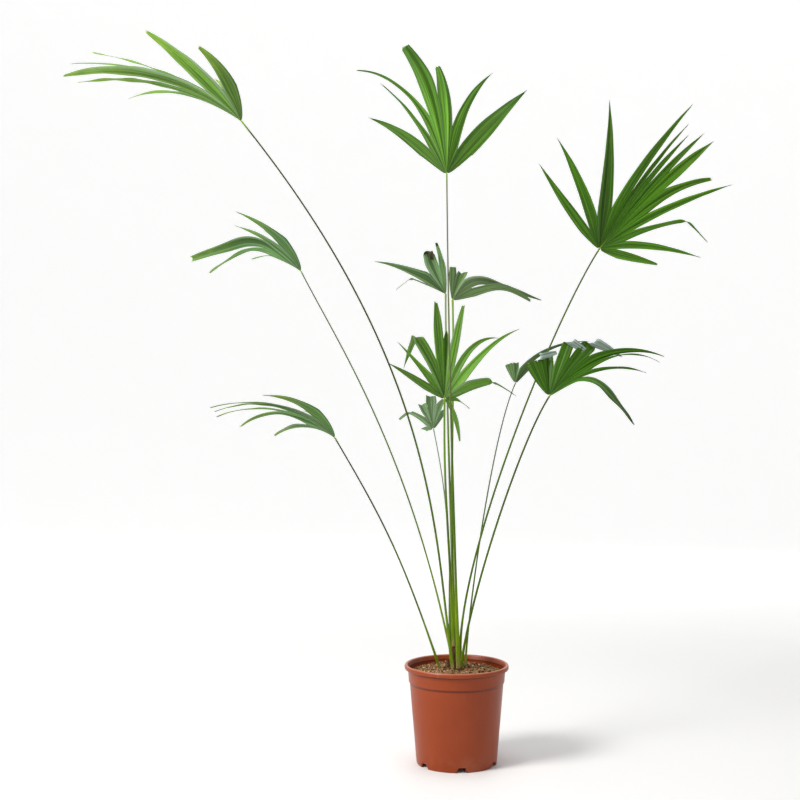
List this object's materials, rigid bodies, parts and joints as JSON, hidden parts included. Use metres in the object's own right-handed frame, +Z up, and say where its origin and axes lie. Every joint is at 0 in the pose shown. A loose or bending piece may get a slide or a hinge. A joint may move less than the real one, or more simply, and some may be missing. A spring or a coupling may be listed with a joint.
{
  "type": "potted fan palm",
  "caption": "Young Chinese fan palm in a round terracotta-coloured plastic nursery pot, with long bare petioles and pleated, drooping fan blades.",
  "frame": {"origin": "middle of the pot's flat underside, on the floor", "axes": "+Z up along the pot's axis, +X to the viewer's right, -Y towards the viewer"},
  "size_m": [1.7456, 0.853, 1.8589],
  "materials": {
    "pot": "satin terracotta-coloured plastic",
    "soil": "rough crumbled potting mix",
    "crown": "dry fibrous sheath",
    "petiole": "smooth green stalk",
    "blade": "leathery pleated leaf"
  },
  "bodies": {
    "root": {"pot": "pot", "soil": "soil", "crown": "crown", "petiole_high_left": "petiole", "blade_high_left": "blade", "petiole_middle_left": "petiole", "blade_middle_left": "blade", "petiole_low_left": "petiole", "blade_low_left": "blade", "petiole_high_middle": "petiole", "blade_high_middle": "blade", "petiole_centre_back": "petiole", "blade_centre_back": "blade", "petiole_centre_front": "petiole", "blade_centre_front": "blade", "petiole_centre_low": "petiole", "blade_centre_low": "blade", "petiole_low_back": "petiole", "blade_low_back": "blade", "petiole_high_right": "petiole", "blade_high_right": "blade", "petiole_low_right": "petiole", "blade_low_right": "blade", "petiole_far_right": "petiole", "blade_far_right": "blade"}
  },
  "joints": []
}
